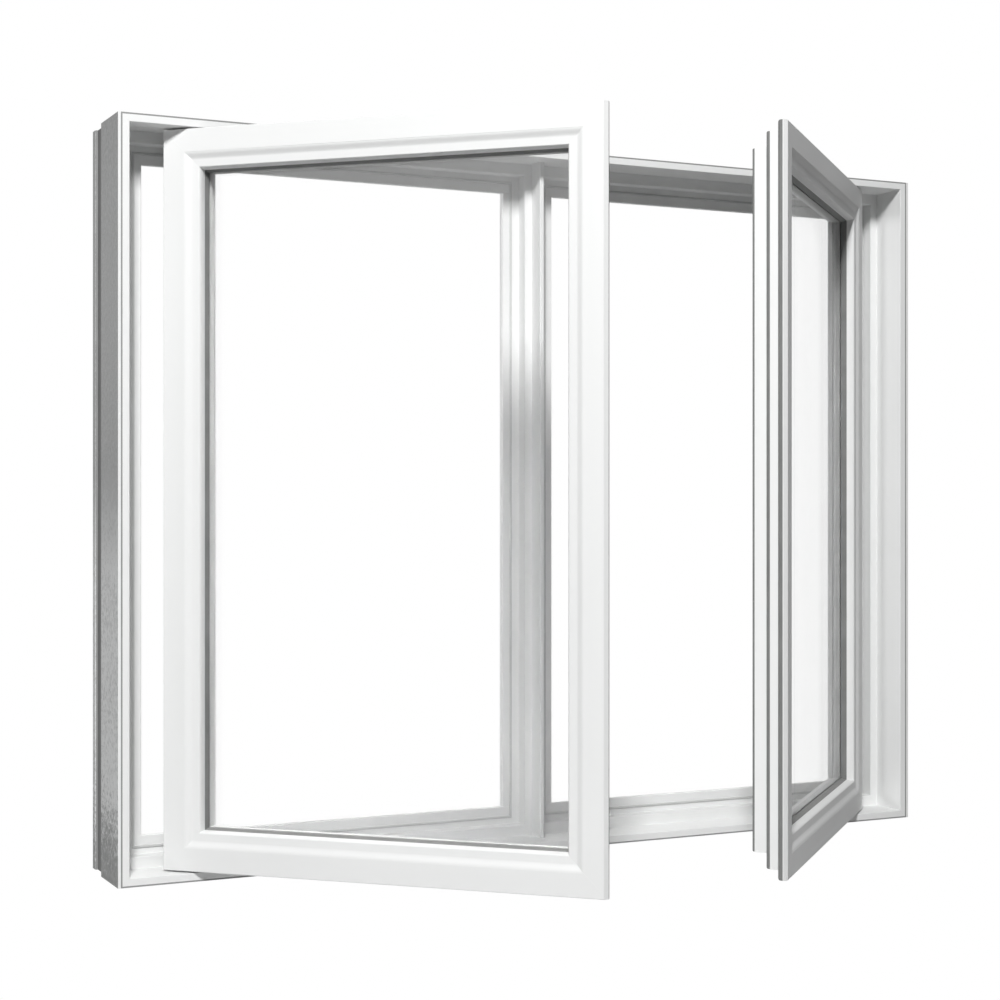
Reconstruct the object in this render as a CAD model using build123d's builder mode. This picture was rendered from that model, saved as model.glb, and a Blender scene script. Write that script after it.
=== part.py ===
from build123d import *
import math
import os

# Twin-sash tilt and turn window with both sashes standing open into the room.
# X runs across the window, Y from the room to the outside, Z up, all in millimetres.
# The origin lies under the sill, at mid width, in the plane of the main frame's room face.

# Overall sizes of the frame
frame_width = 1514.0
frame_height = 1200.0

# Lining boards on the room side, with the strips that cover them left and right
lining_thickness = 13.8
lining_depth = 72.0
side_strip_thickness = 4.5
side_strip_overlap = 33.0
tongue_thickness = 4.5
outline_gasket_width = 2.5
outline_gasket_depth = 6.0

# Main frame section, heights measured from its own outer face
rebate_height = 28.5
rebate_depth = 24.0
stop_height = 58.5
stop_tip = 8.0
nose_height = 26.0
main_depth = 94.0
edge_radius = 1.0

# Mullion section
fin_thickness = 7.6
fin_reach = 32.0
mullion_width = 35.0
mullion_nose_width = 40.0

# Seals on the stops of the frame
stop_seal_width = 4.0
stop_seal_reach = 2.0
stop_seal_rise = 12.0
stop_seal_side_rise = 16.0

# Sash section, insets measured from its outer edge and depths from its room face
sash_gap = 2.7
sash_side_gap = 4.9
sash_depth = 58.0
chamfer = 6.0
flange_depth = 7.0
middle_inset = 13.5
middle_depth = 29.5
rear_inset = 35.0
face_width = 41.0
bead_shelf = 6.0
glazing_floor = 50.0
rear_leg_inset = 64.0

# Seals on the steps of the sash
flange_seal_depth = 6.0
middle_seal_depth = 4.0
middle_seal_width = 8.6
rear_seal_depth = 2.5
rear_seal_width = 7.4
seal_setback = 0.8

# Glazing bead
bead_setback = 0.6
bead_lip = 1.5
bead_step = 5.0
bead_step_width = 6.5
bead_nose_inset = 66.0
bead_nose_start = 8.0
bead_nose_depth = 15.0
bead_nose_radius = 2.5
bead_tail_depth = 26.0

# Sealed glazing unit
gasket_thickness = 3.5
glass_depth = 29.0
glass_inset = 54.0
glass_thickness = 4.0
cavity = 12.0
spacer_inset = 56.0
spacer_proud = 0.5

# Open position of the sashes
sash_angle = 44.3
hinge_gap = 62.7
hinge_setback = 33.7

# Concealed hinges
arm_width = 14.0
arm_thickness = 3.0
plate_width = 16.0
frame_plate_thickness = 2.5
sash_plate_thickness = 2.0
collar_height = 3.5
collar_radius = 5.5
short_arm_place = 45.0
long_arm_place = 65.0

# Levels and sizes that follow from the above
main_inset = side_strip_thickness
half_width = frame_width / 2
half_height = frame_height / 2
rebate_level = tongue_thickness + rebate_height
stop_level = tongue_thickness + stop_height
stop_half_width = mullion_width / 2 + stop_height - rebate_height
sash_foot = lining_thickness + sash_gap
sash_height = frame_height - 2 * sash_foot
light_width = half_width - side_strip_thickness - lining_thickness - fin_thickness / 2
sash_width = light_width - 2 * sash_side_gap
shut_face = rebate_depth - rear_seal_depth - sash_depth
rear_glass_depth = glass_depth + glass_thickness + cavity
rear_leg_depth = rear_glass_depth + glass_thickness
hinge_depth = (middle_depth + sash_depth) / 2
turn_cos = math.cos(math.radians(sash_angle))
turn_sin = math.sin(math.radians(sash_angle))
hinge_x = half_width - side_strip_thickness - lining_thickness - hinge_gap
hinge_y = hinge_setback - lining_depth

UP = Vector(0, 0, 1)
RING_SIDES = ("bottom", "top", "left", "right")


def write(part, name):
    part.label = name
    export_step(part, f"parts/{name}.step")


def sash_plane(hand):
    """Plane of an open sash: x along its width, y through its depth, z up."""
    if hand == "left":
        return Plane(origin=(-hinge_x, hinge_y, sash_foot), x_dir=(turn_cos, -turn_sin, 0), z_dir=UP)
    free_corner = (hinge_x - sash_width * turn_cos, hinge_y - sash_width * turn_sin, sash_foot)
    return Plane(origin=free_corner, x_dir=(turn_cos, turn_sin, 0), z_dir=UP)


def ring_side(ring, width, height, side):
    """Start corner, end corner and inward direction of one side of a ring."""
    foot_left = ring.origin
    foot_right = foot_left + ring.x_dir * width
    top_left = foot_left + UP * height
    top_right = foot_right + UP * height
    corners = {
        "bottom": (foot_right, foot_left, UP),
        "top": (top_left, top_right, UP * -1),
        "left": (foot_left, top_left, ring.x_dir),
        "right": (top_right, foot_right, ring.x_dir * -1),
    }
    return corners[side]


def mitred_member(ring, width, height, side, section, eased, name):
    """One straight member of a ring, cut at 45 degrees at both ends.

    The section lists its corners as inset from the outer edge and depth; the eased ones are rounded.
    """
    start, end, inward = ring_side(ring, width, height, side)
    along = (end - start).normalized()
    with BuildPart() as member:
        with BuildSketch(Plane(origin=(start + end) / 2, x_dir=inward, z_dir=along)) as cut:
            with BuildLine():
                Polyline(*section, close=True)
            make_face()
            for corner, radius in eased:
                fillet(cut.vertices().sort_by_distance(corner)[0], radius)
        extrude(amount=(end - start).length / 2, both=True)
        split(bisect_by=Plane(origin=start, z_dir=along - inward), keep=Keep.TOP)
        split(bisect_by=Plane(origin=end, z_dir=(along + inward) * -1), keep=Keep.TOP)
    write(member.part, name)


def ring_face(ring, width, height, depth):
    """Plane at a depth inside a ring, centred on it and facing outdoors."""
    centre = ring.origin + ring.x_dir * (width / 2) + ring.y_dir * depth + UP * (height / 2)
    return Plane(origin=centre, x_dir=ring.x_dir, z_dir=ring.y_dir)


def loop_sketch(plane, width, height, outer_inset, inner_inset):
    """A rectangular loop between two insets from the outer edge of a ring."""
    with BuildSketch(plane) as loop:
        Rectangle(width - 2 * outer_inset, height - 2 * outer_inset)
        Rectangle(width - 2 * inner_inset, height - 2 * inner_inset, mode=Mode.SUBTRACT)
    return loop.sketch


def build_lining():
    ring = Plane(origin=(side_strip_thickness - half_width, -lining_depth, 0), x_dir=(1, 0, 0), z_dir=UP)
    width = frame_width - 2 * side_strip_thickness
    front = [
        (0, outline_gasket_depth),
        (outline_gasket_width, outline_gasket_depth),
        (outline_gasket_width, 0),
        (lining_thickness, 0),
        (lining_thickness, lining_depth),
    ]
    plain_back = [(0, lining_depth)]
    tongue_end = lining_depth + rebate_depth
    tongue_back = [(tongue_thickness, lining_depth), (tongue_thickness, tongue_end), (0, tongue_end)]
    eased = [((lining_thickness, 0), edge_radius)]
    boards = (("bottom", "sill"), ("top", "head"), ("left", "left"), ("right", "right"))
    for side, place in boards:
        back = tongue_back if side in ("bottom", "top") else plain_back
        mitred_member(ring, width, frame_height, side, front + back, eased, f"lining_{place}")
    with BuildPart() as gasket:
        front_plane = ring_face(ring, width, frame_height, 0)
        extrude(
            to_extrude=loop_sketch(front_plane, width, frame_height, 0, outline_gasket_width),
            amount=outline_gasket_depth,
        )
    write(gasket.part, "perimeter_gasket")


def build_side_strips():
    depth = lining_depth + side_strip_overlap
    middle = side_strip_overlap - depth / 2
    for hand, turn in (("left", -1), ("right", 1)):
        with BuildPart() as strip:
            with BuildSketch(Plane.XY):
                with Locations((turn * (half_width - side_strip_thickness / 2), middle)):
                    Rectangle(side_strip_thickness, depth)
            extrude(amount=frame_height)
        write(strip.part, f"{hand}_side_strip")


def build_main_frame():
    ring = Plane(origin=(main_inset - half_width, 0, tongue_thickness), x_dir=(1, 0, 0), z_dir=UP)
    section = [
        (0, 0),
        (rebate_height, 0),
        (rebate_height, rebate_depth),
        (stop_height, rebate_depth),
        (stop_height, rebate_depth + stop_tip),
        (nose_height, main_depth),
        (0, main_depth),
    ]
    eased = [
        ((rebate_height, 0), edge_radius),
        ((stop_height, rebate_depth), 2 * edge_radius),
        ((nose_height, main_depth), edge_radius),
    ]
    width = frame_width - 2 * main_inset
    height = frame_height - 2 * tongue_thickness
    members = (("bottom", "sill"), ("top", "head"), ("left", "left_jamb"), ("right", "right_jamb"))
    for side, place in members:
        mitred_member(ring, width, height, side, section, eased, f"frame_{place}")


def build_mullion():
    tip_depth = rebate_depth + stop_tip
    with BuildPart() as mullion:
        with BuildSketch(Plane.XY):
            with BuildLine():
                half = Polyline(
                    (0, -fin_reach),
                    (fin_thickness / 2, -fin_reach),
                    (fin_thickness / 2, 0),
                    (mullion_width / 2, 0),
                    (mullion_width / 2, rebate_depth),
                    (stop_half_width, rebate_depth),
                    (stop_half_width, tip_depth),
                    (mullion_nose_width / 2, main_depth),
                    (0, main_depth),
                )
                mirror(half, about=Plane.YZ)
            make_face()
        extrude(amount=frame_height)
        fillet(mullion.edges().filter_by(Axis.Z).group_by(Axis.Y)[0], edge_radius)
        # Both ends are scribed over the lining and over the section of the sill and the head
        with BuildSketch(Plane.YZ) as scribe:
            with BuildLine():
                Polyline(
                    (-lining_depth, 0),
                    (-lining_depth, lining_thickness),
                    (0, lining_thickness),
                    (0, rebate_level),
                    (rebate_depth, rebate_level),
                    (rebate_depth, stop_level),
                    (tip_depth, stop_level),
                    (main_depth, tongue_thickness + nose_height),
                    (main_depth, 0),
                    close=True,
                )
            make_face()
            mirror(about=Plane.XZ.offset(-half_height))
        extrude(amount=2 * stop_half_width, both=True, mode=Mode.SUBTRACT)
    write(mullion.part, "mullion")


def build_opening_seals():
    """One seal round each opening, on the room face of the stops."""
    seal_inset = main_inset + rebate_height + stop_seal_side_rise - stop_seal_width / 2
    seal_mid = mullion_width / 2 + stop_seal_side_rise - stop_seal_width / 2
    width = half_width - seal_inset - seal_mid
    height = frame_height - 2 * (rebate_level + stop_seal_rise - stop_seal_width / 2)
    for hand, turn in (("left", -1), ("right", 1)):
        centre = (turn * (seal_mid + width / 2), rebate_depth - stop_seal_reach, half_height)
        with BuildPart() as seal:
            plane = Plane(origin=centre, x_dir=(1, 0, 0), z_dir=(0, 1, 0))
            extrude(to_extrude=loop_sketch(plane, width, height, 0, stop_seal_width), amount=stop_seal_reach)
            fillet(seal.faces().sort_by(Axis.Y)[0].edges(), edge_radius)
        write(seal.part, f"{hand}_opening_seal")


def build_sash(hand):
    ring = sash_plane(hand)
    section = [
        (chamfer, 0),
        (0, chamfer),
        (0, flange_depth),
        (middle_inset, flange_depth),
        (middle_inset, middle_depth),
        (rear_inset, middle_depth),
        (rear_inset, sash_depth),
        (rear_leg_inset, sash_depth),
        (rear_leg_inset, rear_leg_depth),
        (glazing_floor, rear_leg_depth),
        (glazing_floor, bead_shelf),
        (face_width, bead_shelf),
        (face_width, 0),
    ]
    eased = [((chamfer, 0), edge_radius), ((rear_leg_inset, sash_depth), 2 * edge_radius)]
    step_end = glazing_floor + bead_step_width
    bead = [
        (face_width, bead_shelf),
        (face_width, bead_setback),
        (face_width + bead_lip, bead_setback),
        (glazing_floor, bead_step),
        (step_end, bead_step),
        (bead_nose_inset, bead_nose_start),
        (bead_nose_inset, bead_nose_depth),
        (bead_nose_inset - gasket_thickness, bead_nose_depth),
        (bead_nose_inset - gasket_thickness, bead_tail_depth),
        (glazing_floor, bead_tail_depth),
        (glazing_floor, bead_shelf),
    ]
    bead_eased = [((bead_nose_inset, bead_nose_start), bead_nose_radius)]
    places = {"bottom": "bottom_rail", "top": "top_rail"}
    for side in ("left", "right"):
        places[side] = "hinge_stile" if side == hand else "lock_stile"
    for side in RING_SIDES:
        name = places[side]
        mitred_member(ring, sash_width, sash_height, side, section, eased, f"{hand}_sash_{name}")
        short_name = name.split("_")[0]
        mitred_member(ring, sash_width, sash_height, side, bead, bead_eased, f"{hand}_bead_{short_name}")


def build_sash_seals(hand):
    """Three seals on the outdoor faces of the sash steps."""
    ring = sash_plane(hand)
    bands = (
        (flange_depth, seal_setback, middle_inset, flange_seal_depth),
        (middle_depth, middle_inset + seal_setback, middle_inset + middle_seal_width, middle_seal_depth),
        (sash_depth, rear_inset + seal_setback, rear_inset + rear_seal_width, rear_seal_depth),
    )
    with BuildPart() as seals:
        for depth, outer, inner, thickness in bands:
            plane = ring_face(ring, sash_width, sash_height, depth)
            extrude(to_extrude=loop_sketch(plane, sash_width, sash_height, outer, inner), amount=thickness)
    write(seals.part, f"{hand}_sash_seals")


def build_glazing(hand):
    ring = sash_plane(hand)
    for name, depth in (("inner", glass_depth), ("outer", rear_glass_depth)):
        with BuildPart() as pane:
            with BuildSketch(ring_face(ring, sash_width, sash_height, depth)):
                Rectangle(sash_width - 2 * glass_inset, sash_height - 2 * glass_inset)
            extrude(amount=glass_thickness)
        write(pane.part, f"{hand}_{name}_pane")
    with BuildPart() as spacer:
        cavity_plane = ring_face(ring, sash_width, sash_height, glass_depth + glass_thickness)
        spacer_edge = bead_nose_inset + spacer_proud
        extrude(
            to_extrude=loop_sketch(cavity_plane, sash_width, sash_height, spacer_inset, spacer_edge),
            amount=cavity,
        )
    write(spacer.part, f"{hand}_spacer")
    with BuildPart() as gasket:
        bead_plane = ring_face(ring, sash_width, sash_height, bead_nose_depth)
        gasket_inset = bead_nose_inset - gasket_thickness
        extrude(
            to_extrude=loop_sketch(bead_plane, sash_width, sash_height, gasket_inset, bead_nose_inset),
            amount=glass_depth - bead_nose_depth,
        )
    write(gasket.part, f"{hand}_glazing_gasket")


def sash_pivot(turn, place):
    """Pivot on the open sash, at a distance from its hinge edge."""
    across = hinge_x - place * turn_cos - hinge_depth * turn_sin
    return Vector(turn * across, hinge_y - place * turn_sin + hinge_depth * turn_cos)


def frame_pivot(turn, place):
    """Pivot on the frame that lies equally far from the sash pivot with the sash open and shut."""
    opened = sash_pivot(turn, place)
    shut_across = half_width - side_strip_thickness - lining_thickness - sash_side_gap - place
    shut = Vector(turn * shut_across, shut_face + hinge_depth)
    middle = (opened + shut) / 2
    swing = shut - opened
    pivot_y = rebate_depth / 2
    return Vector(middle.X - swing.Y * (pivot_y - middle.Y) / swing.X, pivot_y)


def bar_sketch(level, start, end, width):
    """A flat bar with round ends about two pivots."""
    along = end - start
    with BuildSketch(Plane.XY.offset(level)) as bar:
        with Locations((start + end) / 2):
            SlotCenterToCenter(along.length, width, rotation=math.degrees(math.atan2(along.Y, along.X)))
    return bar.sketch


def disc_sketch(level, centre, radius):
    """A round collar about a pivot."""
    with BuildSketch(Plane.XY.offset(level)) as disc:
        with Locations(centre):
            Circle(radius)
    return disc.sketch


def build_hinges(hand):
    """Concealed hinges at the foot and head of a sash: two plates joined by two stacked arms."""
    turn = -1 if hand == "left" else 1
    frame_short, frame_long = (frame_pivot(turn, place) for place in (short_arm_place, long_arm_place))
    sash_short, sash_long = (sash_pivot(turn, place) for place in (short_arm_place, long_arm_place))
    frame_top = rebate_level + frame_plate_thickness
    arm_low = frame_top + collar_height
    arm_high = arm_low + arm_thickness
    arm_top = arm_high + arm_thickness
    sash_under = sash_foot + rear_inset - sash_plate_thickness
    middle_plane = Plane.XY.offset(half_height)

    with BuildPart() as frame_plates:
        extrude(
            to_extrude=bar_sketch(rebate_level, frame_short, frame_long, plate_width),
            amount=frame_plate_thickness,
        )
        extrude(to_extrude=disc_sketch(frame_top, frame_short, collar_radius), amount=arm_low - frame_top)
        extrude(to_extrude=disc_sketch(frame_top, frame_long, collar_radius), amount=arm_high - frame_top)
        mirror(about=middle_plane)
    write(frame_plates.part, f"{hand}_hinge_frame_plates")

    with BuildPart() as arms:
        extrude(to_extrude=bar_sketch(arm_low, frame_short, sash_short, arm_width), amount=arm_thickness)
        extrude(to_extrude=bar_sketch(arm_high, frame_long, sash_long, arm_width), amount=arm_thickness)
        mirror(about=middle_plane)
    write(arms.part, f"{hand}_hinge_arms")

    with BuildPart() as sash_plates:
        extrude(
            to_extrude=bar_sketch(sash_under, sash_short, sash_long, plate_width),
            amount=sash_plate_thickness,
        )
        extrude(to_extrude=disc_sketch(arm_high, sash_short, collar_radius), amount=sash_under - arm_high)
        extrude(to_extrude=disc_sketch(arm_top, sash_long, collar_radius), amount=sash_under - arm_top)
        mirror(about=middle_plane)
    write(sash_plates.part, f"{hand}_hinge_sash_plates")


os.makedirs("parts", exist_ok=True)
build_lining()
build_side_strips()
build_main_frame()
build_mullion()
build_opening_seals()
for hand in ("left", "right"):
    build_sash(hand)
    build_sash_seals(hand)
    build_glazing(hand)
    build_hinges(hand)
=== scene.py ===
import logging
import math
from dataclasses import dataclass
from enum import Enum

import bmesh
import bpy
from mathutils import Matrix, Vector


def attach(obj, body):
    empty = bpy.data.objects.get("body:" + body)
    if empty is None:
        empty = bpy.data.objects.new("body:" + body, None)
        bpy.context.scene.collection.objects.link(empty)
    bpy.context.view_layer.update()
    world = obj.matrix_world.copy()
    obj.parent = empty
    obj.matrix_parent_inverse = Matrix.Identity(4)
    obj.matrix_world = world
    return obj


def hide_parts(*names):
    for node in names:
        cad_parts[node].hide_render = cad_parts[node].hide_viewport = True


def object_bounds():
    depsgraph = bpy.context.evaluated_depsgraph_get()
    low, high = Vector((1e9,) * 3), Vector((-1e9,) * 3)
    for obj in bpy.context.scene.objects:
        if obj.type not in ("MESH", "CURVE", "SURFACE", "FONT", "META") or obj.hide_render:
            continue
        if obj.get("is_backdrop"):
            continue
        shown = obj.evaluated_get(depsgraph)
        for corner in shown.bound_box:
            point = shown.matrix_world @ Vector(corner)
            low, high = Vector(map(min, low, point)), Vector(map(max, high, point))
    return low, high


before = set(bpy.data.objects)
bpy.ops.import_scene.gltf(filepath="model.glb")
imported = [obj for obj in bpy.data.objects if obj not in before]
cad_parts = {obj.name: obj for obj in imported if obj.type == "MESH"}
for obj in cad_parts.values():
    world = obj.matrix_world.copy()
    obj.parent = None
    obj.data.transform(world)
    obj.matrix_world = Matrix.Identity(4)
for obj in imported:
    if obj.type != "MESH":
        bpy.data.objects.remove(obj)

LOG = logging.getLogger("window")
MM = 0.001
UP = Vector((0.0, 0.0, 1.0))
SASH_ANGLE = math.radians(44.3)
SHARP_EDGE = math.radians(18.0)
SEAM_STATIONS = (0.0, 0.08, 0.35, 0.65, 0.92, 1.0)
SEAM_RIBS = ((-1.0, 0.0), (-0.6, 0.75), (0.0, 1.0), (0.6, 0.75), (1.0, 0.0))
SEAM_END_FULLNESS = 0.25
DOME_PROFILE = ((1.0, 0.0), (1.0, 0.3), (0.88, 0.68), (0.6, 0.92), (0.25, 1.0))

Colour = tuple[float, float, float]
Section = list[tuple[float, float]]
Loop = list[bmesh.types.BMVert]


class Hand(Enum):
    """The two sashes, each named for the side that it hangs on."""

    LEFT = "left"
    RIGHT = "right"


class Run(Enum):
    """Direction in which a member was extruded."""

    UPRIGHT = (0.0, 0.0, 1.0)
    LEVEL = (1.0, 0.0, 0.0)
    LEFT_RAIL = (math.cos(SASH_ANGLE), -math.sin(SASH_ANGLE), 0.0)
    RIGHT_RAIL = (math.cos(SASH_ANGLE), math.sin(SASH_ANGLE), 0.0)


class Slot(Enum):
    """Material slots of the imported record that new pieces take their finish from."""

    SASH_VINYL = "sash_vinyl"
    BEAD_VINYL = "bead_vinyl"
    GLAZING_RUBBER = "glazing_rubber"
    LINING_VINYL = "lining_vinyl"
    SIDE_STRIP = "side_strip"
    SEAL_RUBBER = "seal_rubber"
    HINGE_STEEL = "hinge_steel"


class Graph:
    """A node tree with short calls for placing nodes and joining their sockets."""

    def __init__(self, tree: bpy.types.NodeTree) -> None:
        """Keeps the tree that the nodes go into."""
        self.tree = tree

    def add(self, kind: str, **settings: object) -> bpy.types.Node:
        """Places one node.

        Args:
            kind: Type name of the node.
            settings: Properties of the node, by name.

        Returns:
            The new node.
        """
        node = self.tree.nodes.new(kind)
        for name, value in settings.items():
            setattr(node, name, value)
        return node

    def join(self, start: bpy.types.NodeSocket, end: bpy.types.NodeSocket) -> None:
        """Links an output to an input."""
        self.tree.links.new(start, end)

    def feed(self, socket: bpy.types.NodeSocket, value: object) -> None:
        """Links a socket to an input, or sets the input to a number, vector or colour."""
        if isinstance(value, bpy.types.NodeSocket):
            self.join(value, socket)
        elif socket.type == "RGBA":
            socket.default_value = (*value, 1.0)
        else:
            socket.default_value = value

    def math(
        self, operation: str, first: object, second: object = 0.0, third: object = 0.0, clamp: bool = False
    ) -> bpy.types.NodeSocket:
        """Places a math node.

        Args:
            operation: Name of the operation.
            first: A socket or a number.
            second: A socket or a number.
            third: A socket or a number, for operations on three values.
            clamp: Whether the result is held between 0 and 1.

        Returns:
            The socket with the result.
        """
        node = self.add("ShaderNodeMath", operation=operation, use_clamp=clamp)
        for socket, value in zip(node.inputs, (first, second, third)):
            self.feed(socket, value)
        return node.outputs[0]

    def vector_math(self, operation: str, first: object, second: object) -> bpy.types.Node:
        """Places a vector math node.

        Args:
            operation: Name of the operation.
            first: A socket or a vector.
            second: A socket, a vector or, for a scale, a socket with the factor.

        Returns:
            The new node.
        """
        node = self.add("ShaderNodeVectorMath", operation=operation)
        end = node.inputs["Scale"] if operation == "SCALE" else node.inputs[1]
        self.feed(node.inputs[0], first)
        self.feed(end, second)
        return node

    def blend(self, share: object, first: object, second: object) -> bpy.types.NodeSocket:
        """Mixes two colours.

        Args:
            share: Socket or number, 0 for the first colour and 1 for the second.
            first: A socket or a colour.
            second: A socket or a colour.

        Returns:
            The socket with the mixed colour.
        """
        node = self.add("ShaderNodeMix", data_type="RGBA")
        for socket, value in zip((node.inputs[0], node.inputs[6], node.inputs[7]), (share, first, second)):
            self.feed(socket, value)
        return node.outputs[2]

    def noise(
        self, place: bpy.types.NodeSocket, scale: bpy.types.NodeSocket, detail: float, roughness: float = 0.5
    ) -> bpy.types.NodeSocket:
        """Places a noise texture.

        Args:
            place: Socket with the place.
            scale: Socket with the scale.
            detail: Number of finer layers.
            roughness: Strength of the finer layers.

        Returns:
            The socket with the noise.
        """
        node = self.add("ShaderNodeTexNoise")
        node.inputs["Detail"].default_value = detail
        node.inputs["Roughness"].default_value = roughness
        self.join(place, node.inputs["Vector"])
        self.join(scale, node.inputs["Scale"])
        return node.outputs["Fac"]

    def object_place(self) -> bpy.types.NodeSocket:
        """Socket with the place in the piece's own frame."""
        return self.add("ShaderNodeTexCoord").outputs["Object"]

    def axis(self, vector: bpy.types.NodeSocket, name: str) -> bpy.types.NodeSocket:
        """Socket with one part, X, Y or Z, of a vector."""
        node = self.add("ShaderNodeSeparateXYZ")
        self.join(vector, node.inputs[0])
        return node.outputs[name]

    def facing(self, name: str) -> bpy.types.NodeSocket:
        """Socket with one part, X, Y or Z, of the direction that a face looks in."""
        return self.axis(self.add("ShaderNodeNewGeometry").outputs["Normal"], name)


GroupStart = tuple[Graph, bpy.types.Node, bpy.types.Node]


class Effects:
    """Shader groups that several finishes share, each built once."""

    def __init__(self) -> None:
        """Builds the groups."""
        self.die_lines = self._die_lines()
        self.mottle = self._mottle()
        self.dust = self._dust()

    @staticmethod
    def _open(name: str, inputs: dict[str, object], outputs: tuple[str, ...]) -> GroupStart:
        """Starts a group.

        Args:
            name: Name of the group.
            inputs: Default value of each input, a number or a vector.
            outputs: Names of the outputs, all of them numbers.

        Returns:
            The graph, and the nodes that hold its inputs and its outputs.
        """
        tree = bpy.data.node_groups.new(name, "ShaderNodeTree")
        for label, value in inputs.items():
            kind = "NodeSocketVector" if isinstance(value, tuple) else "NodeSocketFloat"
            socket = tree.interface.new_socket(label, in_out="INPUT", socket_type=kind)
            socket.default_value = value
        for label in outputs:
            tree.interface.new_socket(label, in_out="OUTPUT", socket_type="NodeSocketFloat")
        graph = Graph(tree)
        return graph, graph.add("NodeGroupInput"), graph.add("NodeGroupOutput")

    def _die_lines(self) -> bpy.types.NodeTree:
        """Fine lines that the die leaves along an extruded member, with a slow change along them."""
        start = {"Direction": Run.UPRIGHT.value, "Scale": 900.0, "Keep": 0.01}
        graph, given, result = self._open("die_lines", start, ("Height", "Tone"))
        place = graph.object_place()
        along = graph.vector_math("DOT_PRODUCT", place, given.outputs["Direction"]).outputs["Value"]
        dropped = graph.math("MULTIPLY", along, graph.math("SUBTRACT", 1.0, given.outputs["Keep"]))
        shift = graph.vector_math("SCALE", given.outputs["Direction"], dropped).outputs[0]
        across = graph.vector_math("SUBTRACT", place, shift).outputs[0]
        broad_scale = graph.math("MULTIPLY", given.outputs["Scale"], 0.06)
        graph.join(graph.noise(across, given.outputs["Scale"], 3.0), result.inputs["Height"])
        graph.join(graph.noise(across, broad_scale, 2.0), result.inputs["Tone"])
        return graph.tree

    def _mottle(self) -> bpy.types.NodeTree:
        """Uneven patches with a finer speckle inside them."""
        start = {"Scale": 6.0, "Speckle Scale": 140.0, "Speckle": 0.5}
        graph, given, result = self._open("mottle", start, ("Patches", "Height"))
        place = graph.object_place()
        patches = graph.noise(place, given.outputs["Scale"], 2.0)
        speckle = graph.noise(place, given.outputs["Speckle Scale"], 4.0, 0.62)
        swing = graph.math("MULTIPLY", graph.math("SUBTRACT", speckle, 0.5), given.outputs["Speckle"])
        graph.join(graph.math("ADD", patches, swing, clamp=True), result.inputs["Patches"])
        graph.join(speckle, result.inputs["Height"])
        return graph.tree

    def _dust(self) -> bpy.types.NodeTree:
        """A thin veil of dust on faces that look up."""
        graph, given, result = self._open("dust", {"Amount": 0.1, "Scale": 60.0}, ("Mask",))
        level = graph.math("MULTIPLY", graph.math("SUBTRACT", graph.facing("Z"), 0.5), 2.0, clamp=True)
        grains = graph.noise(graph.object_place(), given.outputs["Scale"], 5.0)
        settled = graph.math("MULTIPLY", level, grains)
        graph.join(graph.math("MULTIPLY", settled, given.outputs["Amount"]), result.inputs["Mask"])
        return graph.tree


def place_group(graph: Graph, group: bpy.types.NodeTree, **values: object) -> bpy.types.Node:
    """Puts a shared effect into a material.

    Args:
        graph: Node tree of the material.
        group: The shared effect.
        values: Its inputs, with underscores for spaces.

    Returns:
        The group's node.
    """
    node = graph.add("ShaderNodeGroup", node_tree=group)
    for name, value in values.items():
        node.inputs[name.replace("_", " ")].default_value = value
    return node


def mottled(
    graph: Graph, effects: Effects, scale: float, speckle_scale: float, speckle: float
) -> bpy.types.Node:
    """Puts the mottle into a material.

    Args:
        graph: Node tree of the material.
        effects: The shared groups.
        scale: Scale of the patches.
        speckle_scale: Scale of the speckle.
        speckle: Strength of the speckle.

    Returns:
        The group's node.
    """
    return place_group(graph, effects.mottle, Scale=scale, Speckle_Scale=speckle_scale, Speckle=speckle)


def open_material(name: str) -> tuple[bpy.types.Material, Graph, bpy.types.Node]:
    """Starts a material.

    Args:
        name: Name of the material.

    Returns:
        The material, its graph and its shader.
    """
    material = bpy.data.materials.new(name)
    material.use_nodes = True
    return material, Graph(material.node_tree), material.node_tree.nodes["Principled BSDF"]


def gloss(
    graph: Graph, cause: bpy.types.NodeSocket, shader: bpy.types.Node, middle: float, swing: float
) -> None:
    """Lets a value between 0 and 1 swing a shader's roughness.

    Args:
        graph: Node tree of the material.
        cause: Socket with the value.
        shader: The shader.
        middle: Roughness at the middle of the swing.
        swing: Full swing of the roughness.
    """
    graph.join(graph.math("MULTIPLY_ADD", cause, swing, middle - swing / 2), shader.inputs["Roughness"])


def bump(
    graph: Graph, height: bpy.types.NodeSocket, shader: bpy.types.Node, strength: float, reach: float
) -> None:
    """Lets a height act on a shader's normal.

    Args:
        graph: Node tree of the material.
        height: Socket with the height.
        shader: The shader.
        strength: Strength of the effect.
        reach: Full height in metres.
    """
    node = graph.add("ShaderNodeBump")
    node.inputs["Strength"].default_value = strength
    node.inputs["Distance"].default_value = reach
    graph.join(height, node.inputs["Height"])
    graph.join(node.outputs[0], shader.inputs["Normal"])


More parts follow.
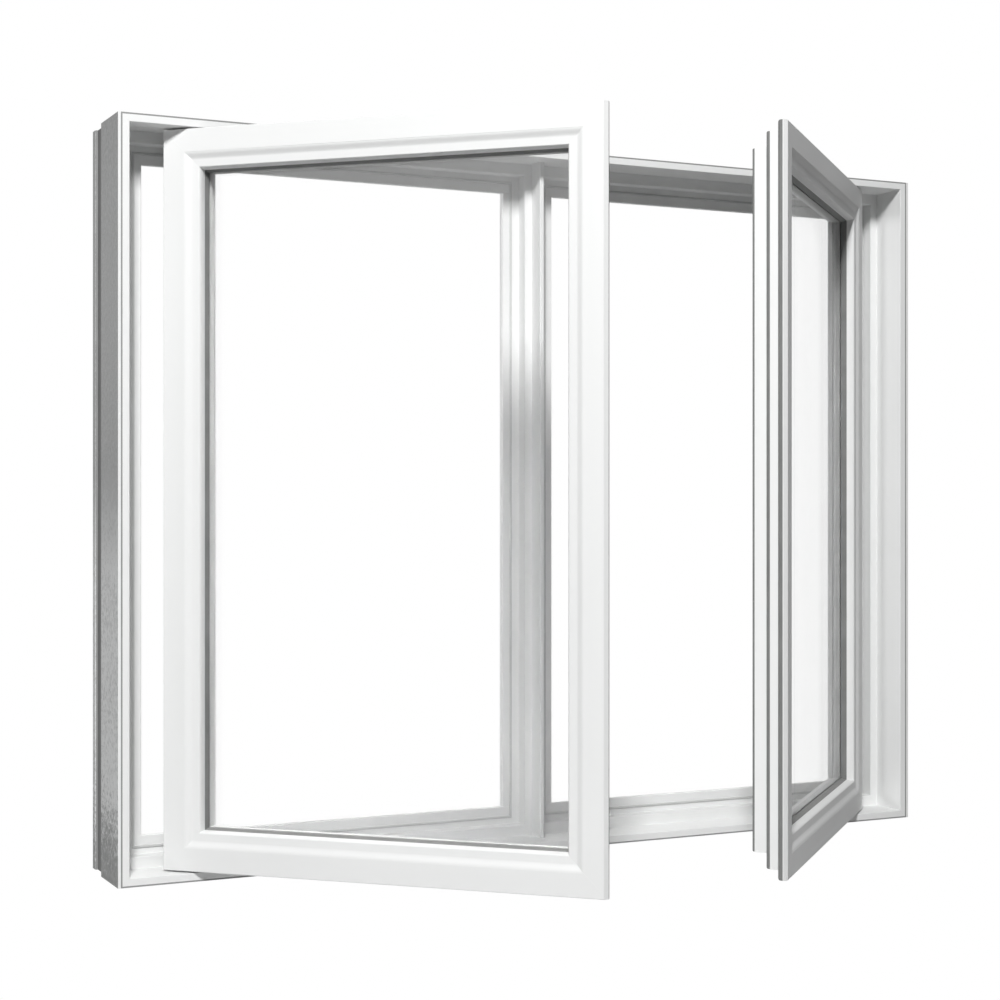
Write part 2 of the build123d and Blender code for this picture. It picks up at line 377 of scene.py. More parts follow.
@dataclass(frozen=True)
class Vinyl:
    """White extruded vinyl: faint die lines, a little uneven in tone, dusty on top."""

    name: str
    colour: Colour = (0.86, 0.866, 0.862)
    shade: Colour = (0.82, 0.826, 0.822)
    dusty: Colour = (0.62, 0.61, 0.58)
    roughness: float = 0.5
    specular: float = 0.28
    gloss_swing: float = 0.12
    line_scale: float = 900.0
    line_strength: float = 0.04
    line_height: float = 0.0004
    patch_scale: float = 3.5
    speckle_scale: float = 420.0
    speckle: float = 0.25
    dust: float = 0.12
    dust_scale: float = 90.0

    def make(self, effects: Effects, run: Run) -> bpy.types.Material:
        """Builds the material for members that were extruded in one direction.

        Args:
            effects: The shared groups.
            run: Direction of the members.

        Returns:
            The material.
        """
        material, graph, shader = open_material(f"{self.name}_{run.name.lower()}")
        lines = place_group(graph, effects.die_lines, Direction=run.value, Scale=self.line_scale)
        patches = mottled(graph, effects, self.patch_scale, self.speckle_scale, self.speckle)
        dust = place_group(graph, effects.dust, Amount=self.dust, Scale=self.dust_scale)
        tone = graph.math("MULTIPLY", lines.outputs["Tone"], patches.outputs["Patches"])
        surface = graph.blend(tone, self.colour, self.shade)
        graph.join(graph.blend(dust.outputs["Mask"], surface, self.dusty), shader.inputs["Base Color"])
        gloss(graph, patches.outputs["Patches"], shader, self.roughness, self.gloss_swing)
        shader.inputs["Specular IOR Level"].default_value = self.specular
        bump(graph, lines.outputs["Height"], shader, self.line_strength, self.line_height)
        return material


@dataclass(frozen=True)
class CoatedStrip:
    """Outer strip: white on its narrow edges, mottled zinc on its broad face, paler in a band across the
    middle of its height.
    """

    name: str
    edge: Colour = (0.86, 0.866, 0.862)
    dark: Colour = (0.31, 0.314, 0.312)
    light: Colour = (0.84, 0.848, 0.846)
    roughness: float = 0.74
    gloss_swing: float = 0.2
    specular: float = 0.08
    patch_scale: float = 7.0
    speckle_scale: float = 150.0
    speckle: float = 2.2
    patch_share: float = 0.4
    grain_strength: float = 0.08
    grain_height: float = 0.0006
    broad_limit: float = 0.7
    pale_band_foot: tuple[float, float] = (0.1, 0.24)
    pale_band_head: tuple[float, float] = (0.57, 0.72)
    pale_band: float = 0.4
    waver: float = 0.16

    def make(self, effects: Effects) -> bpy.types.Material:
        """Builds the material.

        Args:
            effects: The shared groups.

        Returns:
            The material.
        """
        material, graph, shader = open_material(self.name)
        mottle = mottled(graph, effects, self.patch_scale, self.speckle_scale, self.speckle)
        patches = mottle.outputs["Patches"]
        # The broad face is paler between two heights, with the edges of that band wavering with the patches.
        level = graph.math("MULTIPLY_ADD", patches, self.waver, graph.axis(graph.object_place(), "Z"))
        risen = self._step(graph, level, self.pale_band_foot)
        passed = self._step(graph, level, self.pale_band_head)
        pale = graph.math("MULTIPLY", graph.math("SUBTRACT", risen, passed), self.pale_band)
        uneven = graph.math("MULTIPLY", patches, graph.math("ADD", pale, self.patch_share))
        zinc = graph.blend(graph.math("ADD", pale, uneven, clamp=True), self.dark, self.light)
        broad = graph.math("GREATER_THAN", graph.math("ABSOLUTE", graph.facing("X")), self.broad_limit)
        graph.join(graph.blend(broad, self.edge, zinc), shader.inputs["Base Color"])
        gloss(graph, patches, shader, self.roughness, self.gloss_swing)
        shader.inputs["Specular IOR Level"].default_value = self.specular
        bump(graph, mottle.outputs["Height"], shader, self.grain_strength, self.grain_height)
        return material

    @staticmethod
    def _step(graph: Graph, height: bpy.types.NodeSocket, span: tuple[float, float]) -> bpy.types.NodeSocket:
        """Soft step from 0 to 1 between two heights.

        Args:
            graph: Node tree of the material.
            height: Socket with the height.
            span: The heights where the step begins and ends.

        Returns:
            The socket with the step.
        """
        node = graph.add("ShaderNodeMapRange", interpolation_type="SMOOTHSTEP")
        graph.join(height, node.inputs["Value"])
        node.inputs["From Min"].default_value, node.inputs["From Max"].default_value = span
        return node.outputs["Result"]


@dataclass(frozen=True)
class Rubber:
    """Matt grey rubber, or a bar with a matt coat, with a fine grain."""

    name: str
    colour: Colour
    worn: Colour
    roughness: float = 0.62
    specular: float = 0.25
    dusty: Colour = (0.55, 0.54, 0.52)
    gloss_swing: float = 0.16
    patch_scale: float = 25.0
    speckle_scale: float = 900.0
    speckle: float = 0.4
    dust: float = 0.25
    dust_scale: float = 120.0
    grain_strength: float = 0.12
    grain_height: float = 0.0002

    def make(self, effects: Effects) -> bpy.types.Material:
        """Builds the material.

        Args:
            effects: The shared groups.

        Returns:
            The material.
        """
        material, graph, shader = open_material(self.name)
        mottle = mottled(graph, effects, self.patch_scale, self.speckle_scale, self.speckle)
        dust = place_group(graph, effects.dust, Amount=self.dust, Scale=self.dust_scale)
        rubber = graph.blend(mottle.outputs["Patches"], self.colour, self.worn)
        graph.join(graph.blend(dust.outputs["Mask"], rubber, self.dusty), shader.inputs["Base Color"])
        gloss(graph, mottle.outputs["Patches"], shader, self.roughness, self.gloss_swing)
        shader.inputs["Specular IOR Level"].default_value = self.specular
        bump(graph, mottle.outputs["Height"], shader, self.grain_strength, self.grain_height)
        return material


@dataclass(frozen=True)
class Metal:
    """Plated steel, brushed along one direction."""

    name: str
    colour: Colour
    tarnish: Colour
    roughness: float
    run: Run = Run.LEVEL
    gloss_swing: float = 0.2
    line_scale: float = 1600.0
    line_strength: float = 0.1
    line_height: float = 0.0002
    patch_scale: float = 40.0
    speckle_scale: float = 600.0
    speckle: float = 0.3

    def make(self, effects: Effects) -> bpy.types.Material:
        """Builds the material.

        Args:
            effects: The shared groups.

        Returns:
            The material.
        """
        material, graph, shader = open_material(self.name)
        lines = place_group(graph, effects.die_lines, Direction=self.run.value, Scale=self.line_scale)
        patches = mottled(graph, effects, self.patch_scale, self.speckle_scale, self.speckle)
        surface = graph.blend(patches.outputs["Patches"], self.colour, self.tarnish)
        graph.join(surface, shader.inputs["Base Color"])
        gloss(graph, lines.outputs["Tone"], shader, self.roughness, self.gloss_swing)
        shader.inputs["Metallic"].default_value = 1.0
        bump(graph, lines.outputs["Height"], shader, self.line_strength, self.line_height)
        return material


@dataclass(frozen=True)
class Glass:
    """Coated double glazing: clear to look through, with a part of the lamp light passing each surface."""

    name: str
    passing: float = 0.52
    index: float = 1.46

    def make(self) -> bpy.types.Material:
        """Builds the material."""
        material, graph, shader = open_material(self.name)
        shader.inputs["Base Color"].default_value = (1.0, 1.0, 1.0, 1.0)
        shader.inputs["Roughness"].default_value = 0.0
        shader.inputs["IOR"].default_value = self.index
        shader.inputs["Transmission Weight"].default_value = 1.0
        clear = graph.add("ShaderNodeBsdfTransparent")
        clear.inputs[0].default_value = (self.passing, self.passing, self.passing, 1.0)
        choice = graph.add("ShaderNodeMixShader")
        graph.join(graph.add("ShaderNodeLightPath").outputs["Is Shadow Ray"], choice.inputs[0])
        graph.join(shader.outputs[0], choice.inputs[1])
        graph.join(clear.outputs[0], choice.inputs[2])
        graph.join(choice.outputs[0], material.node_tree.nodes["Material Output"].inputs["Surface"])
        return material


class Finishes:
    """All finishes of the window, built once."""

    def __init__(self) -> None:
        """Builds the materials."""
        effects = Effects()
        vinyl = Vinyl("white_vinyl")
        self.vinyl = {run: vinyl.make(effects, run) for run in Run}
        self.strip = CoatedStrip("coated_strip").make(effects)
        self.seal = Rubber("stop_rubber", (0.56, 0.566, 0.56), (0.68, 0.685, 0.68)).make(effects)
        # Dark grey rubber in the rebate round the frame's front; its darkness also paints the shadow in the
        # rebate.
        self.outline = Rubber("rebate_shade_rubber", (0.24, 0.243, 0.24), (0.34, 0.343, 0.34)).make(effects)
        greys = ((0.27, 0.272, 0.27), (0.33, 0.332, 0.33))
        # Painted shade: dark dull grey that stands in for the shadow in the groove behind each side strip.
        self.channel = Rubber("channel_liner", *greys, roughness=0.95, specular=0.0).make(effects)
        self.edge_seal = Rubber("edge_rubber", (0.16, 0.163, 0.16), (0.24, 0.243, 0.24)).make(effects)
        self.glazing = Rubber("glazing_rubber", (0.16, 0.163, 0.16), (0.27, 0.273, 0.27)).make(effects)
        self.spacer = Rubber("spacer_bar", (0.56, 0.565, 0.56), (0.66, 0.665, 0.66)).make(effects)
        self.steel = Metal("hinge_steel", (0.62, 0.62, 0.61), (0.48, 0.48, 0.47), 0.38).make(effects)
        self.glass = {
            Hand.LEFT: Glass("clear_glass").make(),
            Hand.RIGHT: Glass("edge_on_glass", index=1.04).make(),
        }


@dataclass(frozen=True)
class Ring:
    """Four members round an opening: a foot corner, two directions and two sizes."""

    corner: Vector
    run: Vector
    inward: Vector
    width: float
    height: float

    def point(self, turn: int, inset: float, depth: float) -> Vector:
        """Point near a corner.

        Args:
            turn: Corner, counted round from the foot at the start of the run.
            inset: Distance in from both outer edges.
            depth: Distance back from the room face.

        Returns:
            The point.
        """
        along = self.width - inset if turn in (1, 2) else inset
        rise = self.height - inset if turn in (2, 3) else inset
        return self.corner + self.run * along + UP * rise + self.inward * depth


def piece_from(
    mesh: bmesh.types.BMesh, name: str, material: bpy.types.Material
) -> bpy.types.Object:
    """Turns a worked mesh into a piece that rides with the window.

    Args:
        mesh: The worked mesh, freed here.
        name: Name of the piece.
        material: Its finish.

    Returns:
        The piece.
    """
    bmesh.ops.recalc_face_normals(mesh, faces=mesh.faces)
    for face in mesh.faces:
        face.smooth = True
    for edge in mesh.edges:
        edge.smooth = edge.calc_face_angle(0.0) < SHARP_EDGE
    data = bpy.data.meshes.new(name)
    mesh.to_mesh(data)
    mesh.free()
    data.materials.append(material)
    piece = bpy.data.objects.new(name, data)
    bpy.context.scene.collection.objects.link(piece)
    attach(piece, "root")
    LOG.info("piece %s: %d faces", name, len(data.polygons))
    return piece


def join_loops(mesh: bmesh.types.BMesh, first: Loop, second: Loop) -> None:
    """Spans two loops of as many corners with a band of faces.

    Args:
        mesh: Mesh that takes the faces.
        first: Corners of the first loop.
        second: Corners of the second loop.
    """
    for place in range(len(first)):
        after = (place + 1) % len(first)
        mesh.faces.new((first[place], first[after], second[after], second[place]))


def span_loops(mesh: bmesh.types.BMesh, loops: list[Loop]) -> None:
    """Joins loops of corners in a row and closes both ends.

    Args:
        mesh: Mesh that takes the faces.
        loops: The loops, in order.
    """
    for loop, beyond in zip(loops, loops[1:]):
        join_loops(mesh, loop, beyond)
    mesh.faces.new(loops[0])
    mesh.faces.new(loops[-1])


def member(mesh: bmesh.types.BMesh, ring: Ring, turn: int, section: Section) -> None:
    """Runs a closed section along one side of a ring, mitred at both ends.

    Args:
        mesh: Mesh that takes the faces.
        ring: The ring.
        turn: Corner that the side starts from.
        section: Corners of the section, as inset and depth.
    """
    ends = (turn, (turn + 1) % 4)
    span_loops(mesh, [[mesh.verts.new(ring.point(end, *place)) for place in section] for end in ends])


def sweep(mesh: bmesh.types.BMesh, ring: Ring, section: Section) -> None:
    """Runs a closed section all round a ring, mitred at its corners.

    Args:
        mesh: Mesh that takes the faces.
        ring: The ring.
        section: Corners of the section, as inset and depth.
    """
    loops = [[mesh.verts.new(ring.point(turn, *place)) for place in section] for turn in range(4)]
    for turn, loop in enumerate(loops):
        join_loops(mesh, loop, loops[(turn + 1) % 4])


def bulb(
    outer: float, inner: float, low: float, high: float, steps: int = 12, fullness: float = 0.45
) -> Section:
    """Section of a seal with a flat foot and a round back.

    Args:
        outer: Inset of its outer side.
        inner: Inset of its inner side.
        low: Depth of its foot.
        high: Depth of its back.
        steps: Number of facets of the back.
        fullness: Exponent of the back, smaller for a squarer one.

    Returns:
        The section.
    """
    middle = (outer + inner) / 2
    reach = (inner - outer) / 2
    section = []
    for step in range(steps + 1):
        angle = math.pi * step / steps
        rise = math.sin(angle) ** fullness if 0 < step < steps else 0.0
        section.append((middle - reach * math.cos(angle), low + (high - low) * rise))
    return section


def seam(mesh: bmesh.types.BMesh, start: Vector, end: Vector, proud: Vector, width: float) -> None:
    """Lays a low weld seam, thin at both ends, from one point to another.

    Args:
        mesh: Mesh that takes the faces.
        start: First end.
        end: Second end.
        proud: How far and in which direction it stands up.
        width: Its full width.
    """
    along = (end - start).normalized()
    side = along.cross(proud.normalized()) * (width / 2)
    rows = []
    for share in SEAM_STATIONS:
        centre = start.lerp(end, share)
        fullness = SEAM_END_FULLNESS if share in (0.0, 1.0) else 1.0
        row = []
        for across, rise in SEAM_RIBS:
            row.append(mesh.verts.new(centre + side * across * fullness + proud * rise * fullness))
        rows.append(row)
    span_loops(mesh, rows)


def dome(
    mesh: bmesh.types.BMesh, centre: Vector, axis: float, radius: float, height: float, steps: int = 20
) -> None:
    """Sets a rivet head with a low dome on a level face.

    Args:
        mesh: Mesh that takes the faces.
        centre: Centre of its foot.
        axis: 1 for a head that stands up, -1 for one that hangs down.
        radius: Radius of its foot.
        height: Height of the head.
        steps: Number of facets round it.
    """
    rows = []
    for spread, rise in DOME_PROFILE:
        row = []
        for step in range(steps):
            angle = 2 * math.pi * step / steps
            offset = Vector((math.cos(angle), math.sin(angle), 0.0)) * (radius * spread)
            row.append(mesh.verts.new(centre + offset + UP * (axis * height * rise)))
        rows.append(row)
    span_loops(mesh, rows)


def upright_bar(mesh: bmesh.types.BMesh, section: Section, low: float, high: float) -> None:
    """Raises a closed section straight up.

    Args:
        mesh: Mesh that takes the faces.
        section: Corners of the section, in plan.
        low: Level of its foot.
        high: Level of its top.
    """
    span_loops(mesh, [[mesh.verts.new((x, y, level)) for x, y in section] for level in (low, high)])


def cut_front(mesh: bmesh.types.BMesh, front: float) -> None:
    """Bevels off what stands in front of an upright plane.

    Args:
        mesh: Mesh to cut.
        front: Place of the plane along y.
    """
    parts = mesh.verts[:] + mesh.edges[:] + mesh.faces[:]
    plane = Vector((0.0, front, 0.0))
    bmesh.ops.bisect_plane(mesh, geom=parts, plane_co=plane, plane_no=(0.0, -1.0, 0.0), clear_outer=True)
    bmesh.ops.holes_fill(mesh, edges=[edge for edge in mesh.edges if edge.is_boundary])


def dress_node(name: str, material: bpy.types.Material) -> None:
    """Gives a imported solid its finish."""
    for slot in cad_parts[name].material_slots:
        slot.material = material


@dataclass
class OuterFrame:
    """Main frame with its mullion, lining, side strips and seals."""

    finishes: Finishes
    half_width: float = 757.0 * MM
    height: float = 1200.0 * MM
    strip: float = 4.5 * MM
    lining_depth: float = 72.0 * MM
    lining_thickness: float = 13.8 * MM
    gasket: float = 2.5 * MM
    seam_width: float = 1.1 * MM
    seam_rise: float = 0.18 * MM
    trim_start: float = 70.0 * MM
    trim_end: float = 88.0 * MM
    trim_edge: float = 1.2 * MM
    strip_overlap: float = 33.0 * MM
    painted_shade_sheet: float = 0.5 * MM
    tongue: float = 4.5 * MM

    def build(self) -> None:
        """Adds the weld seams of the lining, and behind the side strips the trims and the dark sheets that
        paint the shadow in the groove.
        """
        self.build_seams()
        self.build_trims()

    def build_seams(self) -> None:
        """Lays a weld seam across each corner of the lining's front."""
        width = 2 * (self.half_width - self.strip)
        corner = Vector((self.strip - self.half_width, -self.lining_depth, 0.0))
        ring = Ring(corner, Vector((1.0, 0.0, 0.0)), Vector((0.0, 1.0, 0.0)), width, self.height)
        proud = Vector((0.0, -self.seam_rise, 0.0))
        mesh = bmesh.new()
        for turn in range(4):
            start = ring.point(turn, self.gasket + MM, 0.0)
            end = ring.point(turn, self.lining_thickness - MM, 0.0)
            seam(mesh, start, end, proud, self.seam_width)
        piece_from(mesh, "lining_weld_seams", self.finishes.vinyl[Run.UPRIGHT])

    def build_trims(self) -> None:
        """Runs a dull dark sheet that paints the shadow in the groove, and a thin trim with eased edges,
        down each outer side behind the strip.
        """
        for hand in Hand:
            side = -1.0 if hand is Hand.LEFT else 1.0
            seat = self.half_width - self.strip
            proud = seat + self.painted_shade_sheet
            lip = self.half_width - self.trim_edge
            # Section of the dark sheet on the frame's outer face between strip and trim, painted shade for
            # the groove.
            painted_shade_sheet = [
                (side * seat, self.strip_overlap),
                (side * proud, self.strip_overlap),
                (side * proud, self.trim_start - self.painted_shade_sheet),
                (side * lip, self.trim_start - self.painted_shade_sheet),
                (side * lip, self.trim_start),
                (side * seat, self.trim_start),
            ]
            mesh = bmesh.new()
            upright_bar(mesh, painted_shade_sheet, self.tongue, self.height - self.tongue)
            piece_from(mesh, f"{hand.value}_channel_liner", self.finishes.channel)
            section = [
                (side * seat, self.trim_start),
                (side * lip, self.trim_start),
                (side * self.half_width, self.trim_start + self.trim_edge),
                (side * self.half_width, self.trim_end - self.trim_edge),
                (side * lip, self.trim_end),
                (side * seat, self.trim_end),
            ]
            mesh = bmesh.new()
            upright_bar(mesh, section, self.tongue, self.height - self.tongue)
            piece_from(mesh, f"{hand.value}_rear_trim", self.finishes.strip)

    def dress(self) -> None:
        """Gives the solids their finishes."""
        level = self.finishes.vinyl[Run.LEVEL]
        upright = self.finishes.vinyl[Run.UPRIGHT]
        for name in ("frame_head", "frame_sill", "lining_head", "lining_sill"):
            dress_node(name, level)
        for name in ("frame_left_jamb", "frame_right_jamb", "lining_left", "lining_right", "mullion"):
            dress_node(name, upright)
        for hand in Hand:
            dress_node(f"{hand.value}_side_strip", self.finishes.strip)
            dress_node(f"{hand.value}_opening_seal", self.finishes.seal)
        # The rebate's rubber is dark grey, partly its own colour and partly painted shade for the rebate.
        dress_node("perimeter_gasket", self.finishes.outline)


@dataclass
class Sash:
    """One glazed sash that stands open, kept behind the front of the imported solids."""

    finishes: Finishes
    hand: Hand
    front: float
    width: float = 725.1 * MM
    height: float = 1167.0 * MM
    foot: float = 16.5 * MM
    hinge_x: float = 676.0 * MM
    hinge_y: float = -38.3 * MM
    edge: float = 1.2 * MM
    flange_depth: float = 7.0 * MM
    middle_inset: float = 13.5 * MM
    middle_depth: float = 29.5 * MM
    rear_inset: float = 35.0 * MM
    depth: float = 58.0 * MM
    rear_leg_inset: float = 64.0 * MM
    rear_leg_depth: float = 49.0 * MM
    glazing_floor: float = 50.0 * MM
    face_width: float = 36.6 * MM
    shelf_depth: float = 6.0 * MM
    bead_setback: float = 0.3 * MM
    cove_end: float = 49.0 * MM
    bead_depth: float = 5.0 * MM
    nose_start: float = 59.2 * MM
    nose_inset: float = 63.2 * MM
    nose_depth: float = 19.0 * MM
    tail_inset: float = 59.7 * MM
    tail_depth: float = 26.0 * MM
    gasket_inset: float = 66.2 * MM
    glass_depth: float = 29.0 * MM
    lip_share: float = 0.35
    tip_share: float = 0.75
    flange_seal: tuple[float, float, float] = (0.2 * MM, 13.5 * MM, 15.0 * MM)
    middle_seal: tuple[float, float, float] = (14.3 * MM, 22.1 * MM, 35.5 * MM)
    rear_seal: tuple[float, float, float] = (35.8 * MM, 42.4 * MM, 62.0 * MM)
    curve_steps: int = 10
    seam_start: float = 7.0 * MM
    seam_width: float = 1.0 * MM
    seam_rise: float = 0.12 * MM

    def ring(self) -> Ring:
        """Place of the sash, from its corner at the left of its room face."""
        run = Vector(Run.LEFT_RAIL.value if self.hand is Hand.LEFT else Run.RIGHT_RAIL.value)
        inward = UP.cross(run)
        corner = Vector((-self.hinge_x, self.hinge_y, self.foot))
        if self.hand is Hand.RIGHT:
            corner = Vector((self.hinge_x, self.hinge_y, self.foot)) - run * self.width
        return Ring(corner, run, inward, self.width, self.height)

    def sides(self) -> tuple[tuple[str, str], ...]:
        """Names of the four members and of their beads, in the order of the ring's corners."""
        near, far = ("hinge", "lock") if self.hand is Hand.LEFT else ("lock", "hinge")
        return (
            ("bottom_rail", "bottom"),
            (f"{far}_stile", far),
            ("top_rail", "top"),
            (f"{near}_stile", near),
        )

    def member_section(self) -> Section:
        """Section of a rail or stile: flat face, stepped edge, rear leg and the shelf for the bead."""
        eased = self.edge * (1.0 - math.sqrt(0.5))
        return [
            (self.face_width, 0.0),
            (self.edge, 0.0),
            (eased, eased),
            (0.0, self.edge),
            (0.0, self.flange_depth),
            (self.middle_inset, self.flange_depth),
            (self.middle_inset, self.middle_depth),
            (self.rear_inset, self.middle_depth),
            (self.rear_inset, self.depth),
            (self.rear_leg_inset - self.edge, self.depth),
            (self.rear_leg_inset, self.depth - self.edge),
            (self.rear_leg_inset, self.rear_leg_depth),
            (self.glazing_floor, self.rear_leg_depth),
            (self.glazing_floor, self.shelf_depth),
            (self.face_width, self.shelf_depth),
        ]

    def bead_section(self) -> Section:
        """Section of a glazing bead: an ogee down from the face, a flat and a rounded nose."""
        section = [(self.face_width, self.shelf_depth)]
        for step in range(self.curve_steps + 1):
            share = step / self.curve_steps
            fall = share * share * (3.0 - 2.0 * share)
            inset = self.face_width + (self.cove_end - self.face_width) * share
            section.append((inset, self.bead_setback + (self.bead_depth - self.bead_setback) * fall))
        for step in range(self.curve_steps + 1):
            angle = math.pi / 2 * step / self.curve_steps
            inset = self.nose_start + (self.nose_inset - self.nose_start) * math.sin(angle)
            section.append((inset, self.nose_depth - (self.nose_depth - self.bead_depth) * math.cos(angle)))
        section += [
            (self.tail_inset, self.nose_depth),
            (self.tail_inset, self.tail_depth),
            (self.glazing_floor, self.tail_depth),
            (self.glazing_floor, self.shelf_depth),
        ]
        return section

    def gasket_section(self) -> Section:
        """Section of the gasket that closes the gap between the nose of the bead and the glass."""
        lip = (self.nose_inset + self.gasket_inset) / 2
        gap = self.glass_depth - self.nose_depth
        return [
            (self.tail_inset, self.nose_depth),
            (self.nose_inset, self.nose_depth),
            (lip, self.nose_depth + gap * self.lip_share),
            (self.gasket_inset, self.nose_depth + gap * self.tip_share),
            (self.gasket_inset, self.glass_depth),
            (self.tail_inset, self.glass_depth),
        ]

    def build(self) -> None:
        """Adds the members, beads, gasket, seals and weld seams."""
        ring = self.ring()
        side = self.hand.value
        rail = self.finishes.vinyl[Run.LEFT_RAIL if self.hand is Hand.LEFT else Run.RIGHT_RAIL]
        upright = self.finishes.vinyl[Run.UPRIGHT]
        for turn, (name, bead_name) in enumerate(self.sides()):
            vinyl = rail if name.endswith("rail") else upright
            mesh = bmesh.new()
            member(mesh, ring, turn, self.member_section())
            cut_front(mesh, self.front)
            piece = piece_from(mesh, f"{side}_{name}_profile", vinyl)
            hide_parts(f"{side}_sash_{name}")
            mesh = bmesh.new()
            member(mesh, ring, turn, self.bead_section())
            piece = piece_from(mesh, f"{side}_{bead_name}_bead_profile", vinyl)
            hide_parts(f"{side}_bead_{bead_name}")
        mesh = bmesh.new()
        sweep(mesh, ring, self.gasket_section())
        piece = piece_from(mesh, f"{side}_bead_gasket", self.finishes.glazing)
        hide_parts(f"{side}_glazing_gasket")
        self.build_seals(ring)
        self.build_seams(ring)

    def build_seals(self, ring: Ring) -> None:
        """Runs a round-backed seal along each step of the edge.

        Args:
            ring: Place of the sash.
        """
        mesh = bmesh.new()
        steps = (self.flange_depth, self.middle_depth, self.depth)
        for low, (outer, inner, high) in zip(steps, (self.flange_seal, self.middle_seal, self.rear_seal)):
            sweep(mesh, ring, bulb(outer, inner, low, high))
        piece = piece_from(mesh, f"{self.hand.value}_bulb_seals", self.finishes.edge_seal)
        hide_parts(f"{self.hand.value}_sash_seals")

    def build_seams(self, ring: Ring) -> None:
        """Lays a low weld seam across each corner of the room face.

        Args:
            ring: Place of the sash.
        """
        mesh = bmesh.new()
        for turn in range(4):
            start = ring.point(turn, self.seam_start, 0.0)
            end = ring.point(turn, self.face_width - self.edge, 0.0)
            seam(mesh, start, end, ring.inward * -self.seam_rise, self.seam_width)
        vinyl = self.finishes.vinyl[Run.UPRIGHT]
        piece_from(mesh, f"{self.hand.value}_sash_weld_seams", vinyl)

    def dress(self) -> None:
        """Gives the solids that stay their finishes."""
        side = self.hand.value
        glass = self.finishes.glass[self.hand]
        for place in ("inner", "outer"):
            dress_node(f"{side}_{place}_pane", glass)
        dress_node(f"{side}_spacer", self.finishes.spacer)


@dataclass
class Hinges:
    """Concealed hinges of one sash, at its foot and its head."""

    finishes: Finishes
    hand: Hand
    window_height: float = 1200.0 * MM
    head_radius: float = 4.2 * MM
    head_height: float = 1.4 * MM
    short_frame_pivot: tuple[float, float] = (634.35 * MM, 12.0 * MM)
    short_sash_pivot: tuple[float, float] = (613.24 * MM, -38.42 * MM)
    long_frame_pivot: tuple[float, float] = (604.36 * MM, 12.0 * MM)
    long_sash_pivot: tuple[float, float] = (598.92 * MM, -52.39 * MM)
    short_arm_level: float = 39.0 * MM
    long_arm_level: float = 42.0 * MM
    arm_thickness: float = 3.0 * MM

    def build(self) -> None:
        """Closes the pivots with rivet heads, above the arms at the frame and below them at the sash."""
        side = -1.0 if self.hand is Hand.LEFT else 1.0
        above = (
            (self.short_frame_pivot, self.short_arm_level + self.arm_thickness),
            (self.long_frame_pivot, self.long_arm_level + self.arm_thickness),
        )
        below = ((self.short_sash_pivot, self.short_arm_level), (self.long_sash_pivot, self.long_arm_level))
        mesh = bmesh.new()
        for pivots, axis in ((above, 1.0), (below, -1.0)):
            for (x, y), level in pivots:
                foot = Vector((side * x, y, level))
                head = Vector((side * x, y, self.window_height - level))
                dome(mesh, foot, axis, self.head_radius, self.head_height)
                dome(mesh, head, -axis, self.head_radius, self.head_height)
        piece_from(mesh, f"{self.hand.value}_hinge_rivets", self.finishes.steel)

    def dress(self) -> None:
        """Gives the solids their finish."""
        for place in ("frame_plates", "arms", "sash_plates"):
            dress_node(f"{self.hand.value}_hinge_{place}", self.finishes.steel)


@dataclass(frozen=True)
class Lamp:
    """A soft rectangular lamp that points at the middle of the window."""

    name: str
    turn: float
    rise: float
    power: float
    width: float
    height: float
    distance: float = 3.4
    aim: tuple[float, float, float] = (0.0, -0.2, 0.6)

    def build(self) -> None:
        """Hangs the lamp, its turn counted from the room side towards the left and its rise from level."""
        data = bpy.data.lights.new(self.name, "AREA")
        data.shape = "RECTANGLE"
        data.size = self.width
        data.size_y = self.height
        data.energy = self.power
        lamp = bpy.data.objects.new(self.name, data)
        turn = math.radians(self.turn)
        rise = math.radians(self.rise)
        away = Vector((-math.sin(turn) * math.cos(rise), -math.cos(turn) * math.cos(rise), math.sin(rise)))
        lamp.location = Vector(self.aim) + away * self.distance
        lamp.rotation_euler = (-away).to_track_quat("-Z", "Y").to_euler()
        bpy.context.scene.collection.objects.link(lamp)


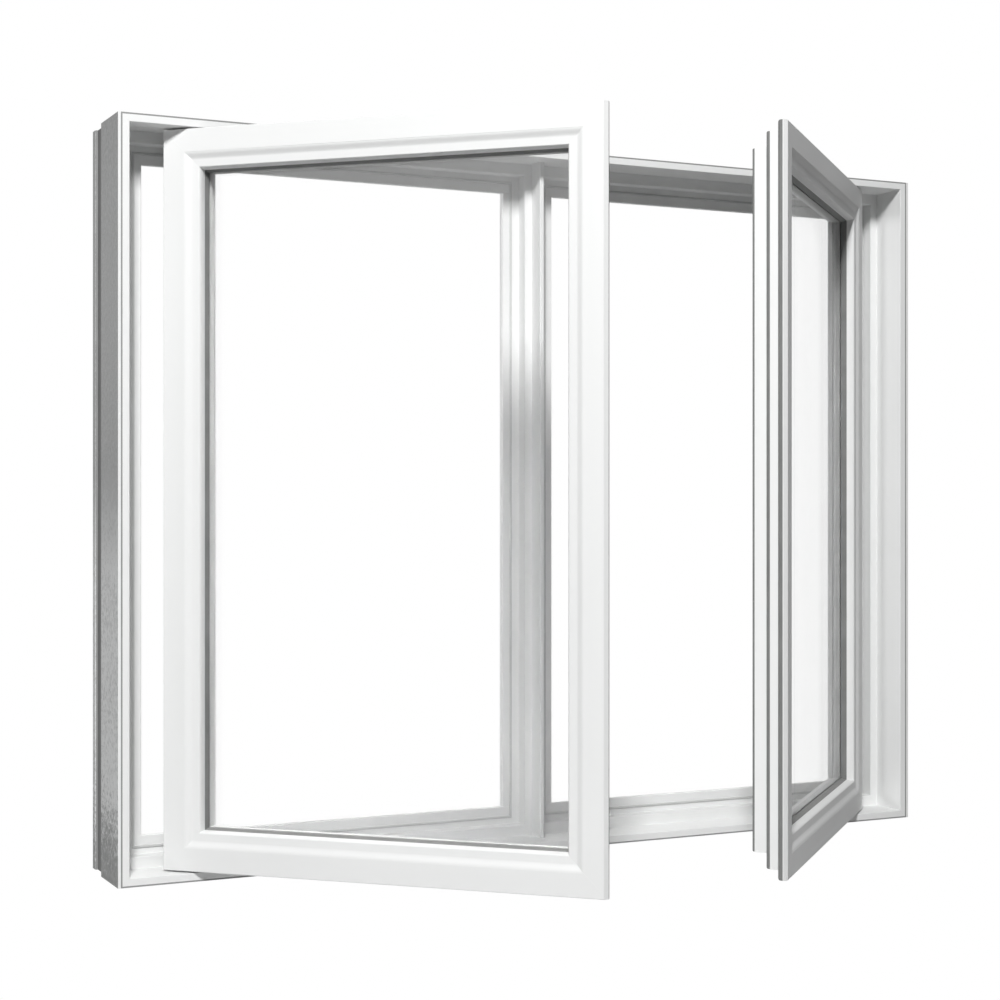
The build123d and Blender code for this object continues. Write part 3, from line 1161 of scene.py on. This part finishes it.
@dataclass
class Studio:
    """Pale floor, soft lamps, white surroundings and the camera."""

    floor_centre: tuple[float, float, float] = (0.0, -0.2, -0.9)
    floor_radius: float = 1.9
    floor_segments: int = 96
    floor_colour: Colour = (0.8, 0.8, 0.8)
    floor_roughness: float = 0.8
    white: Colour = (1.0, 1.0, 1.0)
    ambient: float = 0.02
    bounce_limit: float = 0.5
    lens: float = 68.3
    camera_place: tuple[float, float, float] = (-1.5076, -2.9626, 0.6)
    camera_turn: float = -25.94
    lamps: tuple[Lamp, ...] = (
        Lamp("key", 30.5, 40.0, 236.0, 0.6, 0.9, 4.8),
        Lamp("low_front", 24.0, -30.0, 5.0, 0.8, 0.8),
        Lamp("low_left", 60.0, -30.0, 10.0, 0.8, 0.8),
        Lamp("outdoor_left", 150.0, 10.0, 31.0, 0.6, 0.6),
        Lamp("outdoor_right", -150.0, 40.0, 24.0, 0.6, 0.6),
    )

    def build(self) -> None:
        """Sets up everything round the window."""
        bpy.context.scene.view_settings.view_transform = "Standard"
        self.lay_floor()
        self.light_world()
        for lamp in self.lamps:
            lamp.build()
        self.set_camera()

    def lay_floor(self) -> None:
        """Lays a round pale floor well below the window."""
        mesh = bmesh.new()
        bmesh.ops.create_circle(mesh, cap_ends=True, segments=self.floor_segments, radius=self.floor_radius)
        data = bpy.data.meshes.new("floor")
        mesh.to_mesh(data)
        mesh.free()
        floor = bpy.data.objects.new("floor", data)
        floor.location = self.floor_centre
        bpy.context.scene.collection.objects.link(floor)
        material, graph, shader = open_material("pale_floor")
        graph.feed(shader.inputs["Base Color"], self.floor_colour)
        shader.inputs["Roughness"].default_value = self.floor_roughness
        data.materials.append(material)
        floor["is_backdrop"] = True

    def light_world(self) -> None:
        """Shows white to the camera, to reflections and through glass, and lights softly otherwise."""
        world = bpy.data.worlds.new("surroundings")
        world.use_nodes = True
        graph = Graph(world.node_tree)
        soft = world.node_tree.nodes["Background"]
        graph.feed(soft.inputs[0], self.white)
        soft.inputs[1].default_value = self.ambient
        seen = graph.add("ShaderNodeBackground")
        graph.feed(seen.inputs[0], self.white)
        seen.inputs[1].default_value = 1.0
        path = graph.add("ShaderNodeLightPath")
        direct = graph.math("MAXIMUM", path.outputs["Is Camera Ray"], path.outputs["Is Glossy Ray"])
        clear = graph.math("MAXIMUM", direct, path.outputs["Is Transmission Ray"])
        unscattered = graph.math("LESS_THAN", path.outputs["Diffuse Depth"], self.bounce_limit)
        shown = graph.math("MULTIPLY", clear, unscattered)
        choice = graph.add("ShaderNodeMixShader")
        graph.join(shown, choice.inputs[0])
        graph.join(soft.outputs[0], choice.inputs[1])
        graph.join(seen.outputs[0], choice.inputs[2])
        graph.join(choice.outputs[0], world.node_tree.nodes["World Output"].inputs["Surface"])
        bpy.context.scene.world = world

    def set_camera(self) -> None:
        """Puts the camera at the photograph's viewing angle."""
        data = bpy.data.cameras.new("camera")
        data.lens = self.lens
        data.sensor_width = 36.0
        camera = bpy.data.objects.new("camera", data)
        camera.location = self.camera_place
        camera.rotation_euler = (math.radians(90.0), 0.0, math.radians(self.camera_turn))
        bpy.context.scene.collection.objects.link(camera)
        bpy.context.scene.camera = camera


def main() -> None:
    """Builds and dresses the window, then sets the studio."""
    logging.basicConfig(level=logging.INFO, format="%(name)s: %(message)s")
    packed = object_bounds()
    finishes = Finishes()
    outer = OuterFrame(finishes)
    outer.build()
    outer.dress()
    LOG.info("outer frame dressed")
    for hand in Hand:
        sash = Sash(finishes, hand, packed[0][1])
        sash.build()
        sash.dress()
        hinges = Hinges(finishes, hand)
        hinges.build()
        hinges.dress()
        LOG.info("%s sash dressed", hand.value)
    Studio().build()


if __name__ == "__main__":
    main()
